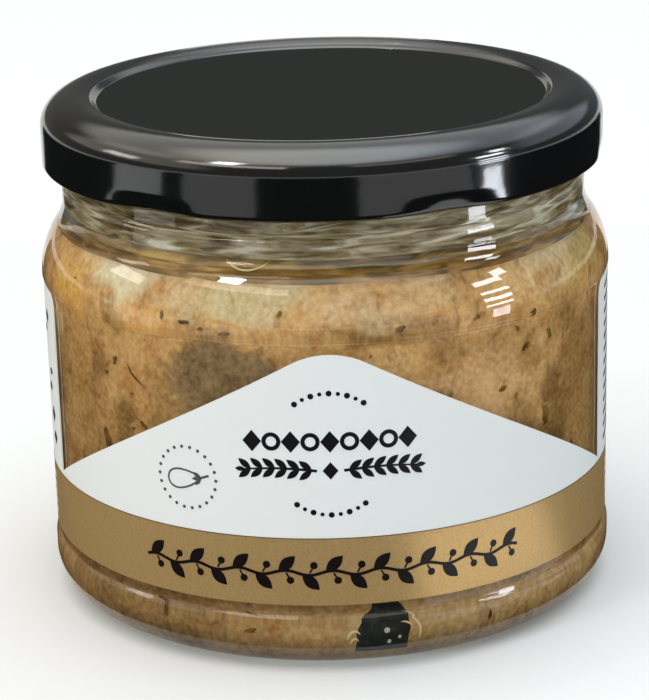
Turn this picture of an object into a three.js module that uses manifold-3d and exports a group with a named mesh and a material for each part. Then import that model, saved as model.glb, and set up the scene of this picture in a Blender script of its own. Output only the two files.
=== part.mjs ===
// A shut glass jar of eggplant spread: a round vessel with a twist-off lid, the spread seen through the
// wall, one strip of dark eggplant skin pressed to the glass, and a die-cut paper label wrapped round it.
// Millimetres, +Z up. The jar stands on z = 0, its axis is the z axis, and its front faces -Y.
import * as THREE from 'three';
import Module from 'manifold-3d';
import { mergeVertices } from 'three/addons/utils/BufferGeometryUtils.js';

const wasm = await Module();
wasm.setup();

// ---- driving dimensions ----------------------------------------------------------------------------
const heelRadius = 43.35; // widest ring, just above the base
const shoulderRadius = 43.2; // widest ring below the neck
const panelRadius = 42.7; // the label panel lies back from both rings
const heelTop = 8.8;
const panelBottom = 9.9;
const panelTop = 48.9;
const shoulderStart = 49.9;
const shoulderArc = 13.5; // radius of the shoulder's round
const shoulderSweep = 32; // degrees of it before it runs straight to the neck
const innerSweep = 44; // the same for the round inside
const neckBase = 60.3;
const boreStart = 59.9; // the neck's bore is straight from here up
const beadRadius = 39.5; // ring at the foot of the neck
const beadTop = 63.7;
const beadRound = 0.9;
const neckRadius = 38.9;
const rimHeight = 74.9;
const rimRound = 1.2;
const rimRoundInside = 0.65;
const boreRadius = 36.3;
const wall = 2.3;
const heelRound = 6;
const innerRound = 4.4; // the same corner inside
const footInner = 33.4; // the jar rests on a flat ring from here to the heel's round
const pushUp = 2.2; // hollow under the base
const floorHeight = 1.7; // inside, at the foot of the wall
const floorDome = 2.4;

const lugCount = 6;
const lugAngle = 24.6; // first lug, in degrees from the front towards +X
const threadRise = 0.143; // mm per degree
const threadSpan = 50; // degrees
const threadLead = 37.1; // degrees from a thread's low end to the lug that it holds
const threadLow = 64.4;
const threadDepth = 1.2;
const threadHalf = 0.9;
const threadTaper = 8; // degrees over which a thread runs out

const lidRadius = 42.2;
const lidTop = 76.7; // the ring's crest
const lidBottom = 66.4;
const lidCrest = 37; // radius of the crest
const lidShoulder = 4.2; // height over which the crest rounds into the skirt
const lidRing = 34.7; // where the ring drops to the panel
const lidRingDrop = 0.4; // from the crest to there
const lidPanelRadius = 33.6;
const lidPanelDrop = 1.15;
const lidSheet = 0.5;
const curl = 0.8; // radius of the rolled edge
const curlSweep = 250; // degrees
const tuckDepth = 1.2;
const tuckHalf = 13.5; // degrees
const tuckHeight = 3;
const sealGap = 0.3;

const fillLevel = 56.5; // at the glass
const fillCrown = 0.9; // higher in the middle
const fillWave = 0.32; // half height of the waves in the spooned top
const gap = 0.3; // between contents and glass

const labelRadius = 42.9;
const paper = 0.16;
const labelBottom = 10.6;
const bandTop = 20.8; // the coloured band's upper edge
const frontPeak = 49.4; // where the front field's two slopes would meet
const frontSlope = 0.533; // rise over run
const frontRound = 11; // radius that rounds the peak
const backEdge = 52.5; // where the back field starts, measured round the jar from the front
const backTop = 49;
const backCorner = 2.5;
const seam = 0.6; // half the slit where the label's ends meet, behind

const skinAngle = 9.6; // degrees from the front
const skinWidth = 7.6;
const skinBottom = 2.9;
const skinTop = 11.2;
const skinThickness = 1.1;
const pocketGap = 0.35;

const segments = 60;
const labelStep = 2.6; // mm between the label's columns
const degree = Math.PI / 180;

// ---- shared shapes ---------------------------------------------------------------------------------
const at = (radius, height) => new THREE.Vector2(radius, height);

// Points round an ellipse in the profile's plane; angles in degrees, counted from outwards to upwards.
function arc(radius, height, wide, from, to, steps, tall = wide) {
  return new THREE.EllipseCurve(radius, height, wide, tall, from * degree, to * degree, to < from).getPoints(steps);
}

// A turned solid: the profile starts and ends on the axis.
function turned(profile) {
  return new THREE.LatheGeometry(profile, segments).rotateX(Math.PI / 2);
}

// Moves each vertex to the radius and height that place(angle, radius, height) gives; the angle is in
// degrees from the front.
function reshape(geometry, place) {
  const position = geometry.getAttribute('position');
  for (let i = 0; i < position.count; i++) {
    const turn = Math.atan2(position.getX(i), -position.getY(i));
    const moved = place(turn / degree, Math.hypot(position.getX(i), position.getY(i)), position.getZ(i));
    position.setXYZ(i, moved.radius * Math.sin(turn), -moved.radius * Math.cos(turn), moved.height);
  }
  geometry.computeVertexNormals();
  return geometry;
}

// A smooth hump: 1 in the middle, 0 from half a width outwards.
const hump = (offset, half) => (Math.abs(offset) < half ? (1 + Math.cos((Math.PI * offset) / half)) / 2 : 0);

// The signed angle from the nearest of the marks that stand one lug pitch apart.
const lugPitch = 360 / lugCount;
function fromNearest(angle, first) {
  const turns = (angle - first) / lugPitch;
  return (turns - Math.round(turns)) * lugPitch;
}

function part(name, geometry, color, roughness, metalness, extra = {}) {
  const mesh = new THREE.Mesh(geometry, new THREE.MeshStandardMaterial({ color, roughness, metalness, ...extra }));
  mesh.name = name;
  return mesh;
}

// ---- glass vessel ----------------------------------------------------------------------------------
const innerRadius = panelRadius - wall;
const floorEdge = innerRadius - innerRound;
const shoulderCentre = shoulderRadius - shoulderArc;

// The domed floor inside, from the foot of the wall to the axis.
function floorPoints(lift) {
  return [0.5, 0].map((share) => at(share * floorEdge, floorHeight + lift + floorDome * (1 - share ** 2)));
}

function outerWall() {
  return [
    ...[0, 0.5, 0.8, 0.94, 1].map((share) => at(share * footInner, pushUp * (1 - share ** 4))),
    ...arc(heelRadius - heelRound, heelRound, heelRound, -90, 0, 6),
    at(heelRadius, heelTop),
    at(panelRadius, panelBottom),
    at(panelRadius, panelTop),
    ...arc(shoulderCentre, shoulderStart, shoulderArc, 0, shoulderSweep, 4),
    at(beadRadius, neckBase),
    at(beadRadius, beadTop - beadRound),
    at(neckRadius, beadTop),
    ...threadRows(),
    ...arc(neckRadius - rimRound, rimHeight - rimRound, rimRound, 0, 90, 3),
  ];
}

// The rows of the neck on which the threads are raised.
function threadRows() {
  const rows = [];
  const last = threadLow + threadSpan * threadRise + threadHalf;
  for (let height = beadTop + threadHalf / 2; height < last; height += threadHalf) rows.push(at(neckRadius, height));
  return rows;
}

function innerWall() {
  return [
    ...arc(boreRadius + rimRoundInside, rimHeight - rimRoundInside, rimRoundInside, 90, 180, 2),
    at(boreRadius, boreStart),
    ...arc(shoulderCentre, shoulderStart, shoulderArc - wall, innerSweep, 0, 4),
    ...arc(floorEdge, floorHeight + innerRound, innerRound, 0, -90, 5),
    ...floorPoints(0),
  ];
}

// Raises the thread starts; each one climbs to the right and runs out at both ends.
function threadRelief(angle, radius, height) {
  if (Math.abs(radius - neckRadius) > 0.01) return { radius, height };
  let relief = 0;
  for (const turns of [-1, 0, 1]) {
    const along = fromNearest(angle, lugAngle - threadLead) + turns * lugPitch;
    if (along < 0 || along > threadSpan) continue;
    const runOut = Math.min(along / threadTaper, (threadSpan - along) / threadTaper, 1);
    relief = Math.max(relief, runOut * hump(height - (threadLow + along * threadRise), threadHalf));
  }
  return { radius: radius + threadDepth * relief, height };
}

const glassJar = reshape(turned([...outerWall(), ...innerWall()]), threadRelief);

// ---- lid -------------------------------------------------------------------------------------------
// Pressed tinplate: a recessed panel in a domed ring, a straight skirt, and a rolled edge that is tucked
// in at six places to grip under the threads.
function lidProfile() {
  const inside = lidRadius - lidSheet;
  const under = rimHeight + sealGap;
  const skirtTop = lidTop - lidShoulder;
  return [
    at(0, lidTop - lidPanelDrop),
    at(lidPanelRadius, lidTop - lidPanelDrop),
    at(lidRing, lidTop - lidRingDrop),
    ...arc(lidCrest, skirtTop, lidRadius - lidCrest, 90, 0, 6, lidShoulder),
    at(lidRadius, lidBottom + tuckHeight),
    ...arc(lidRadius - curl, lidBottom + curl, curl, 0, -curlSweep, 6),
    at(inside, lidBottom + 2 * curl + lidSheet),
    ...arc(lidCrest, skirtTop, inside - lidCrest, 0, 90, 3, under - skirtTop),
    at(0, under),
  ];
}

function tucks(angle, radius, height) {
  const tuckTop = lidBottom + tuckHeight;
  if (height > tuckTop - 0.01) return { radius, height };
  const low = Math.min(1, (tuckTop - height) / (tuckHeight - 2 * curl));
  return { radius: radius - tuckDepth * low * hump(fromNearest(angle, lugAngle), tuckHalf), height };
}

const lid = reshape(turned(lidProfile().reverse()), tucks);

// ---- spread ----------------------------------------------------------------------------------------
// A thick dip that fills the vessel to just under the neck, with an uneven top.
function spreadProfile() {
  const round = shoulderArc - wall - gap;
  const fillAngle = Math.asin((fillLevel - shoulderStart) / round);
  const edge = shoulderCentre + round * Math.cos(fillAngle);
  return [
    ...floorPoints(gap).reverse(),
    ...arc(floorEdge, floorHeight + innerRound, innerRound - gap, -90, 0, 5),
    ...arc(shoulderCentre, shoulderStart, round, 0, fillAngle / degree, 4),
    ...[0.88, 0.66, 0.42, 0.2, 0].map((share) => at(share * edge, fillLevel + fillCrown * (1 - share ** 2))),
  ];
}

// The spooned top rises and dips in slow waves that die out at the middle.
function spoonedTop(angle, radius, height) {
  if (height < fillLevel + 0.1) return { radius, height };
  const turn = angle * degree;
  const wave = Math.sin(3 * turn + radius / 9) + 0.6 * Math.sin(5 * turn - radius / 6 + 1.3);
  return { radius, height: height + fillWave * wave * Math.min(1, radius / 12) };
}

// ---- eggplant skin ---------------------------------------------------------------------------------
// The inner wall's radius where the heel curves in under it.
function wallRadius(height) {
  const below = Math.max(0, floorHeight + innerRound - height);
  return floorEdge + Math.sqrt(Math.max(0, innerRound ** 2 - below ** 2));
}

// A flat pebble laid along the inner wall. Its outer face lies so far inside the wall as outerFace says;
// margin makes it larger all round, for the pocket that it lies in.
function pebble(outerFace, margin) {
  const geometry = new THREE.SphereGeometry(1, 14, 10);
  const position = geometry.getAttribute('position');
  const waist = gap + skinThickness / 2;
  const innerFace = gap + skinThickness + margin;
  for (let i = 0; i < position.count; i++) {
    const height = (skinBottom + skinTop) / 2 + position.getY(i) * ((skinTop - skinBottom) / 2 + margin);
    const across = position.getX(i) * (skinWidth / 2 + margin) * (1 + 0.12 * Math.sin(height * 1.7));
    const face = position.getZ(i) > 0 ? outerFace : innerFace;
    const radius = wallRadius(height) - THREE.MathUtils.lerp(waist, face, Math.abs(position.getZ(i)));
    const angle = skinAngle * degree + across / innerRadius;
    position.setXYZ(i, radius * Math.sin(angle), -radius * Math.cos(angle), height);
  }
  geometry.computeVertexNormals();
  return geometry;
}

function toSolid(geometry) {
  const bare = geometry.clone();
  bare.deleteAttribute('normal');
  bare.deleteAttribute('uv');
  const welded = mergeVertices(bare, 1e-4);
  return new wasm.Manifold(new wasm.Mesh({
    numProp: 3,
    vertProperties: welded.getAttribute('position').array,
    triVerts: Uint32Array.from(welded.getIndex().array),
  }));
}

function toGeometry(solid) {
  const mesh = solid.getMesh();
  const geometry = new THREE.BufferGeometry();
  geometry.setAttribute('position', new THREE.BufferAttribute(mesh.vertProperties, 3));
  geometry.setIndex(new THREE.BufferAttribute(mesh.triVerts, 1));
  geometry.computeVertexNormals();
  return geometry;
}

const filled = toSolid(reshape(turned(spreadProfile()), spoonedTop));
const spread = toGeometry(filled.subtract(toSolid(pebble(-1, pocketGap))));

// ---- label -----------------------------------------------------------------------------------------
// The label's upper edge over a place that lies across millimetres round the jar from the front: a gable
// with a rounded peak, a notch on each side down to the band, and a tall field round the back.
function labelTop(across) {
  const side = Math.abs(across);
  if (side <= backEdge) {
    const slope = Math.atan(frontSlope);
    const start = frontRound * Math.sin(slope);
    const drop = frontRound * (1 / Math.cos(slope) - 1);
    const rounded = frontPeak - drop - (frontRound - Math.sqrt(Math.max(0, frontRound ** 2 - side ** 2)));
    return Math.max(bandTop, side < start ? rounded : frontPeak - frontSlope * side);
  }
  const corner = Math.max(0, backEdge + backCorner - side);
  return backTop - backCorner + Math.sqrt(Math.max(0, backCorner ** 2 - corner ** 2));
}

// Where the strip's columns stand: a step apart, and closer where the edge turns.
function labelStations() {
  const half = Math.PI * labelRadius - seam;
  const stations = [half];
  for (let across = 0; across < half; across += labelStep) stations.push(across);
  for (const beyond of [-0.02, 0.1, 0.6, 1.3, backCorner]) stations.push(backEdge + beyond);
  return [...new Set(stations.flatMap((across) => [across, -across]))].sort((a, b) => a - b);
}

function labelStrip() {
  const stations = labelStations();
  const columns = stations.length - 1;
  const strip = new THREE.BoxGeometry(1, 1, 1, columns, 1, 1);
  const position = strip.getAttribute('position');
  for (let i = 0; i < position.count; i++) {
    const across = stations[Math.round((position.getX(i) + 0.5) * columns)];
    const height = position.getY(i) < 0 ? labelBottom : labelTop(across);
    const radius = labelRadius + (position.getZ(i) > 0 ? paper : 0);
    const angle = across / labelRadius;
    position.setXYZ(i, radius * Math.sin(angle), -radius * Math.cos(angle), height);
  }
  strip.computeVertexNormals();
  return strip;
}

// ---- the jar ---------------------------------------------------------------------------------------
const jar = new THREE.Group();
jar.add(
  part('glass_jar', glassJar, 0xc9c6b4, 0.05, 0, { transparent: true, opacity: 0.35 }),
  part('lid', lid, 0x1b1b1c, 0.25, 0.1),
  part('eggplant_spread', spread, 0xa27c4c, 0.55, 0),
  part('eggplant_skin', pebble(gap, 0), 0x37322c, 0.5, 0),
  part('label', labelStrip(), 0xe3e4df, 0.75, 0),
);

export default jar;
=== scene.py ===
# A shut glass jar of eggplant spread with a black twist-off lid and a die-cut paper label.
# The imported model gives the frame; every piece here is in its coordinates. Lengths below are in
# millimetres and become metres when a piece is finished. Angles round the jar are in degrees from
# the front, positive towards +X.
import math
import random

import bmesh
import bpy
from mathutils import Matrix, Vector, noise


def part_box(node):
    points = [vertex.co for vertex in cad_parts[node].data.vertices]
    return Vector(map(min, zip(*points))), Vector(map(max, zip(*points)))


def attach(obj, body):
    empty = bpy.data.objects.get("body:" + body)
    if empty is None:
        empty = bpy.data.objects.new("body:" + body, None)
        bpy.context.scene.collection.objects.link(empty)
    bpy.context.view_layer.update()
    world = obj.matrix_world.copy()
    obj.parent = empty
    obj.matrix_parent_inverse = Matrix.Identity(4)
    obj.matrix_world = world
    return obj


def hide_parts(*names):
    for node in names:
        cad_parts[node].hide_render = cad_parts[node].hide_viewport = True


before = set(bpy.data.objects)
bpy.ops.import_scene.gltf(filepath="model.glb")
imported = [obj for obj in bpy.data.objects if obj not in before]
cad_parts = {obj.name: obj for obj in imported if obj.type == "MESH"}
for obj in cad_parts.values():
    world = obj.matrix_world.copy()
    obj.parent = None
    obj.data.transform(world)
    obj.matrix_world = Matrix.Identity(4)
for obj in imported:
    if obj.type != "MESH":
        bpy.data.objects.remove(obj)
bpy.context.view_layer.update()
scene = bpy.context.scene
scene.view_settings.view_transform = "Standard"
mm = 0.001


def boxOf(node):
    low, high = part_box(node)
    return low / mm, high / mm


jarHigh = boxOf("glass_jar")[1]
lidLow, lidHigh = boxOf("lid")
labelLow, labelHigh = boxOf("label")
skinLow, skinHigh = boxOf("eggplant_skin")

# small tools for shapes


def arc(radius, height, wide, start, end, steps, tall=None):
    # points round an ellipse in the profile plane, angles from outwards to upwards
    tall = wide if tall is None else tall
    turns = [math.radians(start + (end - start) * i / steps) for i in range(steps + 1)]
    return [(radius + wide * math.cos(a), height + tall * math.sin(a)) for a in turns]


def ease(start, end, steps):
    # a soft step from one profile point to another, level at both ends
    points = []
    for i in range(steps + 1):
        t = i / steps
        blend = (1 - math.cos(math.pi * t)) / 2
        points.append((start[0] + (end[0] - start[0]) * blend, start[1] + (end[1] - start[1]) * t))
    return points


def turned(profile, steps):
    # spins a profile of (radius, height) points round the jar's axis
    bm = bmesh.new()
    verts = [bm.verts.new((radius, 0, height)) for radius, height in profile]
    edges = [bm.edges.new(pair) for pair in zip(verts, verts[1:])]
    bmesh.ops.spin(bm, geom=verts + edges, cent=(0, 0, 0), axis=(0, 0, 1), angle=math.tau, steps=steps,
                   use_merge=True)
    bmesh.ops.remove_doubles(bm, verts=bm.verts, dist=1e-4)
    bmesh.ops.recalc_face_normals(bm, faces=bm.faces)
    return bm


def reshape(bm, place):
    # place(angle, radius, height) gives each vertex its new radius and height
    for vert in bm.verts:
        turn = math.atan2(vert.co.x, -vert.co.y)
        radius, height = place(math.degrees(turn), math.hypot(vert.co.x, vert.co.y), vert.co.z)
        vert.co = (radius * math.sin(turn), -radius * math.cos(turn), height)


def hump(offset, half):
    return (1 + math.cos(math.pi * offset / half)) / 2 if abs(offset) < half else 0.0


def fromNearest(angle, first, pitch):
    turns = (angle - first) / pitch
    return (turns - round(turns)) * pitch


def addStrip(bm, path, width, steps):
    # a flat ribbon along path(t) that is width(t) wide, t from 0 to 1
    verts = bmesh.ops.create_grid(bm, x_segments=steps, y_segments=1, size=1)["verts"]
    for vert in verts:
        t, side = (vert.co.x + 1) / 2, vert.co.y
        here, ahead, behind = Vector(path(t)), Vector(path(t + 0.001)), Vector(path(t - 0.001))
        along = (ahead - behind).normalized()
        offset = Vector((-along.y, along.x)) * side * width(t) / 2
        vert.co = (here.x + offset.x, here.y + offset.y, 0)
    return verts


def settle(bm, level=0.0):
    # the lowest point of a flat sheet comes to lie at level
    lowest = min(vert.co.z for vert in bm.verts)
    for vert in bm.verts:
        vert.co.z += level - lowest


def finishPiece(name, bm, materials, replaced=(), sharp=40):
    bmesh.ops.scale(bm, vec=(mm, mm, mm), verts=bm.verts)
    mesh = bpy.data.meshes.new(name)
    bm.to_mesh(mesh)
    bm.free()
    for material in materials:
        mesh.materials.append(material)
    mesh.shade_smooth()
    mesh.set_sharp_from_angle(angle=math.radians(sharp))
    piece = bpy.data.objects.new(name, mesh)
    scene.collection.objects.link(piece)
    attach(piece, "root")
    if replaced:
        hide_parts(*replaced)
    print(name, len(mesh.polygons), "faces")
    return piece


# small tools for materials


def hexColour(text):
    # sRGB hex to the linear values that Blender works in
    parts = [int(text[i:i + 2], 16) / 255 for i in (1, 3, 5)]
    return tuple(c / 12.92 if c <= 0.04045 else ((c + 0.055) / 1.055) ** 2.4 for c in parts) + (1.0,)


def socketOf(sockets, name):
    if isinstance(name, int):
        return sockets[name]
    return next(s for s in sockets if name in (s.identifier, s.name))


def addNode(material, kind, settings=None, links=None):
    # one node with its settings and incoming links; "stops" fills a colour ramp
    node = material.node_tree.nodes.new(kind)
    for name, value in (settings or {}).items():
        if name == "stops":
            ramp = node.color_ramp
            while len(ramp.elements) < len(value):
                ramp.elements.new(0.5)
            for element, (position, colour) in zip(ramp.elements, value):
                element.position = position
                element.color = hexColour(colour)
        elif isinstance(name, str) and name in node.bl_rna.properties:
            setattr(node, name, value)
        else:
            socketOf(node.inputs, name).default_value = value
    for name, source in (links or {}).items():
        if isinstance(source, tuple):
            source = socketOf(source[0].outputs, source[1])
        material.node_tree.links.new(source, socketOf(node.inputs, name))
    return node


def newMaterial(name):
    material = bpy.data.materials.new(name)
    material.use_nodes = True
    material.node_tree.nodes.clear()
    return material


def surface(material, shader):
    addNode(material, "ShaderNodeOutputMaterial", links={"Surface": shader.outputs[0]})
    return material


# the glass vessel, with its threads
jar = {
    "heelRadius": jarHigh.x,  # widest ring, above the base
    "shoulderRadius": jarHigh.x - 0.15,
    "panelRadius": jarHigh.x - 0.65,  # the label panel lies back from both rings
    "rimHeight": jarHigh.z,
    "heelTop": 7.9,
    "panelBottom": 9.1,
    "panelTop": 48.9,
    "shoulderStart": 49.9,
    "shoulderArc": 13.5,
    "shoulderSweep": 39,
    "innerSweep": 44,
    "neckBase": 60.3,
    "boreStart": 59.9,
    "beadRadius": 39.5,
    "beadTop": 63.7,
    "neckRadius": 38.9,
    "boreRadius": 36.3,
    "cove": [(0.42, -0.95), (0.1, -0.1), (0, 0.5)],  # out from the bead and up from the neck's base
    "rimRound": 1.2,
    "rimRoundInside": 0.65,
    "neckStop": 1.3,  # the threads' rows end so far below the rim
    "wall": 2.3,
    "heelRound": 6,
    "innerRound": 4.4,
    "footInner": 33.4,
    "pushUp": 2.2,
    "floorHeight": 1.7,
    "floorDome": 2.4,
    "steps": 192,
}
jar["innerRadius"] = jar["panelRadius"] - jar["wall"]
jar["floorEdge"] = jar["innerRadius"] - jar["innerRound"]
jar["shoulderCentre"] = jar["shoulderRadius"] - jar["shoulderArc"]
thread = {"count": 6, "lug": 24.6, "lead": 37.1, "rise": 0.143, "span": 50, "low": 64.4, "depth": 1.2,
          "half": 0.9, "taper": 8, "row": 0.25}


def floorPoints(lift, steps=5):
    shares = [1 - i / steps for i in range(1, steps + 1)]
    level, dome = jar["floorHeight"] + lift, jar["floorDome"]
    return [(s * jar["floorEdge"], level + dome * (1 - s * s)) for s in shares]


def outerWall():
    foot = [0, 0.3, 0.5, 0.65, 0.8, 0.9, 0.96]
    points = [(s * jar["footInner"], jar["pushUp"] * (1 - s ** 4)) for s in foot]
    points += [(jar["footInner"], 0)]
    heel = jar["heelRound"]
    points += arc(jar["heelRadius"] - heel, heel, heel, -90, 0, 16)
    step, rise = jar["heelRadius"] - jar["panelRadius"], jar["panelBottom"] - jar["heelTop"]
    slope = [(0, 0), (0.06, 0.16), (0.18, 0.3), (0.5, 0.54), (0.82, 0.78), (0.94, 0.88), (1, 1)]
    points += [(jar["heelRadius"] - step * x, jar["heelTop"] + rise * y) for x, y in slope]
    start, end = jar["panelBottom"] + 0.3, jar["panelTop"] - 0.3
    points += [(jar["panelRadius"], start + (end - start) * i / 12) for i in range(13)]
    points += ease((jar["panelRadius"], jar["panelTop"]), (jar["shoulderRadius"], jar["shoulderStart"]), 6)
    bow, sweep = jar["shoulderArc"], jar["shoulderSweep"]
    points += arc(jar["shoulderCentre"], jar["shoulderStart"], bow, 2, sweep, 14)
    bead = jar["beadRadius"]
    points += [(bead + out, jar["neckBase"] + up) for out, up in jar["cove"]]
    points += ease((bead, jar["beadTop"] - 1), (jar["neckRadius"], jar["beadTop"] + 0.1), 5)
    height = jar["beadTop"] + 0.3
    while height < jar["rimHeight"] - jar["neckStop"]:
        points.append((jar["neckRadius"], height))
        height += thread["row"]
    rim = jar["rimRound"]
    return points + arc(jar["neckRadius"] - rim, jar["rimHeight"] - rim, rim, 0, 90, 6)


def innerRadiusAt(height):
    # the wall inside widens a little from the floor's round corner up to the shoulder
    bow, corner = jar["shoulderArc"] - jar["wall"], jar["floorHeight"] + jar["innerRound"]
    if height > jar["boreStart"]:
        return jar["boreRadius"]
    if height > jar["shoulderStart"]:
        return jar["shoulderCentre"] + math.sqrt(max(0.0, bow ** 2 - (height - jar["shoulderStart"]) ** 2))
    if height > corner:
        share = (height - corner) / (jar["shoulderStart"] - corner)
        return jar["innerRadius"] + (jar["shoulderCentre"] + bow - jar["innerRadius"]) * share
    return jar["floorEdge"] + math.sqrt(max(0.0, jar["innerRound"] ** 2 - (corner - height) ** 2))


def innerWall(outwards=0.0, top=None, rows=1):
    # the inside, from the floor up; outwards moves it into the glass
    turning, corner = jar["innerRound"] + outwards, jar["floorHeight"] + jar["innerRound"]
    points = floorPoints(-outwards)[::-1]
    points += arc(jar["floorEdge"], corner, turning, -90, 0, 14)
    for height in (corner + (jar["shoulderStart"] - corner) * i / rows for i in range(1, rows)):
        points.append((innerRadiusAt(height) + outwards, height))
    sweep = jar["innerSweep"] if top is None else top
    bow = jar["shoulderArc"] - jar["wall"] + outwards
    points += arc(jar["shoulderCentre"], jar["shoulderStart"], bow, 0, sweep, 14)
    return points


def threadRelief(angle, radius, height):
    # the starts climb to the right and run out at both ends
    if abs(radius - jar["neckRadius"]) > 0.01 or height < jar["beadTop"]:
        return radius, height
    pitch = 360 / thread["count"]
    relief = 0.0
    for turn in (-1, 0, 1):
        along = fromNearest(angle, thread["lug"] - thread["lead"], pitch) + turn * pitch
        if 0 < along < thread["span"]:
            runOut = min(along, thread["span"] - along, thread["taper"]) / thread["taper"]
            crest = hump(height - thread["low"] - along * thread["rise"], thread["half"])
            relief = max(relief, math.sin(runOut * math.pi / 2) * crest)
    return radius + thread["depth"] * relief, height


def clearContainerGlass():
    # soda-lime glass, blown in a mould: clear and glossy, with a soft ripple that bends what lies behind
    material = newMaterial("clear container glass")
    place = addNode(material, "ShaderNodeTexCoord")
    ripple = addNode(material, "ShaderNodeTexNoise", {"Scale": 1 / (11 * mm), "Detail": 1.0},
                     {"Vector": place.outputs["Object"]})
    bump = addNode(material, "ShaderNodeBump", {"Strength": 0.25, "Distance": 0.5 * mm},
                   {"Height": ripple.outputs["Fac"]})
    body = addNode(material, "ShaderNodeBsdfPrincipled",
                   {"Base Color": hexColour("#f6faf4"), "Roughness": 0.02, "IOR": 1.52,
                    "Transmission Weight": 1.0},
                   {"Normal": bump.outputs["Normal"]})
    clear = addNode(material, "ShaderNodeBsdfTransparent", {"Color": hexColour("#f0f4ee")})
    path = addNode(material, "ShaderNodeLightPath")
    mix = addNode(material, "ShaderNodeMixShader",
                  links={"Fac": path.outputs["Is Shadow Ray"], "Shader": body.outputs[0],
                         "Shader_001": clear.outputs[0]})
    return surface(material, mix)


glassProfile = outerWall()
lip = jar["rimRoundInside"]
glassProfile += arc(jar["boreRadius"] + lip, jar["rimHeight"] - lip, lip, 90, 180, 4)
glassProfile += [(jar["boreRadius"], jar["boreStart"])]
glassProfile += innerWall()[::-1]
glassMesh = turned(glassProfile, jar["steps"])
reshape(glassMesh, threadRelief)
finishPiece("jarGlass", glassMesh, [clearContainerGlass()], ["glass_jar"], 55)

# the eggplant spread inside it
paste = {
    "intoWall": 0.06,  # reaches just into the glass, so that no air gap shows
    "fillLevel": 56.5,
    "fillWobble": 0.03,  # share by which the edge rises and falls along the glass
    "crown": 0.9,
    "lump": 0.7,
    "lumpWide": 7,
    "lumpFine": 2.1,
    "lumpEdge": 36,  # outside this radius the lumps fade
    "topRows": 46,
    "steps": 240,
}


def pasteFillAngle():
    bow = jar["shoulderArc"] - jar["wall"] + paste["intoWall"]
    return math.degrees(math.asin((paste["fillLevel"] - jar["shoulderStart"]) / bow))


def pasteProfile():
    points = innerWall(paste["intoWall"], pasteFillAngle(), 48)
    edge, level = points[-1]
    for i in range(1, paste["topRows"] + 1):
        share = 1 - i / paste["topRows"]
        points.append((edge * share, level + paste["crown"] * (1 - share ** 2) + 0.02))
    return points


def pasteRelief(angle, radius, height):
    turn = math.radians(angle)
    centre, start = jar["shoulderCentre"], jar["shoulderStart"]
    bow = math.hypot(radius - centre, height - start)
    onWall = height <= paste["fillLevel"] + 0.01
    if onWall and height > start:
        wave = noise.noise(Vector((2.4 * math.sin(turn), 2.4 * math.cos(turn), 3.1)))
        lean = math.asin(min(1, (height - start) / bow)) * (1 + paste["fillWobble"] * 2 * wave)
        return centre + bow * math.cos(lean), start + bow * math.sin(lean)
    if onWall:
        return radius, height
    spot = Vector((radius * math.sin(turn), radius * math.cos(turn), 0.0))
    rough = noise.fractal(spot / paste["lumpWide"], 0.9, 2.1, 5) + 0.5 * noise.noise(spot / paste["lumpFine"])
    return radius, height + paste["lump"] * rough * min(1, (paste["lumpEdge"] - radius) / 3 + 1)


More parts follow.
